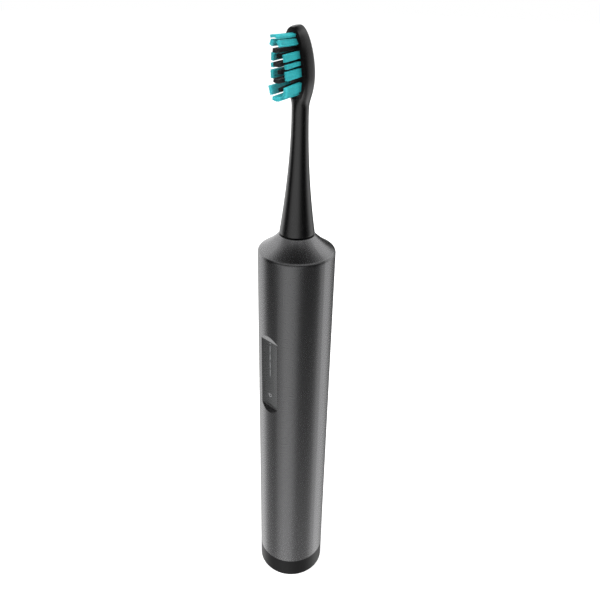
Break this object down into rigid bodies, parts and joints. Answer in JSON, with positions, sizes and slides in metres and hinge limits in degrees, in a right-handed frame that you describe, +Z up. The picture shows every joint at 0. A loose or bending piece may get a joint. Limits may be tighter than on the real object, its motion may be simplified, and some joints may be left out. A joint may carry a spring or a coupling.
{
  "type": "electric toothbrush",
  "caption": "Electric sonic toothbrush with a metal tube handle, a recessed control strip, a twisting drive shaft and a pull-off brush head with teal and black bristles.",
  "frame": {"origin": "centre of the foot's underside, on the handle's axis", "axes": "+Z up along the handle to the brush head, -Y to the front, where the control strip and the bristles face, +X to the right seen from behind"},
  "size_m": [0.0284, 0.0282, 0.2341],
  "materials": {
    "satin_metal": "satin, dark grey anodised",
    "base_plastic": "matt black",
    "seal_rubber": "matt",
    "pale_plastic": "moulded",
    "copper": "enamelled copper wire",
    "lead_cover": "wire cover",
    "cell_sleeve": "shrink sleeve",
    "nickel": "nickel plate",
    "foam": "foam",
    "board_green": "solder mask",
    "chip_black": "moulded",
    "chip_tan": "ceramic",
    "led_white": "clear resin",
    "window_milky": "milky, unlit",
    "strip_plastic": "fine matt",
    "motor_steel": "plated steel",
    "bush_bronze": "sintered bronze",
    "shaft_steel": "ground",
    "head_plastic": "satin black",
    "teal_bristle": "nylon filament",
    "black_bristle": "nylon filament"
  },
  "bodies": {
    "handle": {"handle_shell": "satin_metal", "base_cap": "base_plastic", "base_o_ring": "seal_rubber", "coil_bobbin": "pale_plastic", "charging_coil": "copper", "coil_leads": "lead_cover", "inner_frame": "pale_plastic", "battery_cell": "cell_sleeve", "battery_tabs": "nickel", "battery_pads": "foam", "circuit_board": "board_green", "board_screws": "nickel", "control_chip": "chip_black", "board_parts": "chip_tan", "indicator_leds": "led_white", "light_guide": "pale_plastic", "indicator_windows": "window_milky", "control_fascia": "strip_plastic", "key_seal": "seal_rubber", "tact_switch": "nickel", "motor_can": "motor_steel", "motor_rear_cap": "motor_steel", "motor_front_plate": "motor_steel", "stator_core": "motor_steel", "stator_coils": "copper", "shaft_bushes": "bush_bronze", "motor_pads": "seal_rubber", "shaft_seal": "seal_rubber", "nose_cap": "base_plastic", "nose_o_ring": "seal_rubber"},
    "key": {"power_key": "strip_plastic"},
    "plunger": {"tact_plunger": "chip_black"},
    "rotor": {"drive_shaft": "shaft_steel", "rotor_yoke": "motor_steel", "rotor_magnets": "nickel"},
    "brush_head": {"brush_body": "head_plastic", "brush_sleeve": "shaft_steel", "teal_tufts": "teal_bristle", "black_tufts": "black_bristle"}
  },
  "joints": [
    {"name": "key_press", "type": "slide", "parent": "handle", "child": "key", "axis": [0, 1, 0], "range_m": [0, 0.0003], "stiffness_N_per_m": 1500},
    {"name": "plunger_press", "type": "slide", "parent": "handle", "child": "plunger", "axis": [0, 1, 0], "range_m": [0, 0.0003]},
    {"name": "shaft_twist", "type": "hinge", "parent": "handle", "child": "rotor", "pos_m": [0, 0, 0.13], "axis": [0, 0, 1], "range_deg": [-4.5, 4.5], "stiffness_Nm_per_rad": 0.05},
    {"name": "head_pull", "type": "slide", "parent": "rotor", "child": "brush_head", "axis": [0, 0, 1], "range_m": [0, 0.03]}
  ],
  "couplings": [
    {"joint": "plunger_press", "follows": "key_press", "ratio": 1}
  ]
}
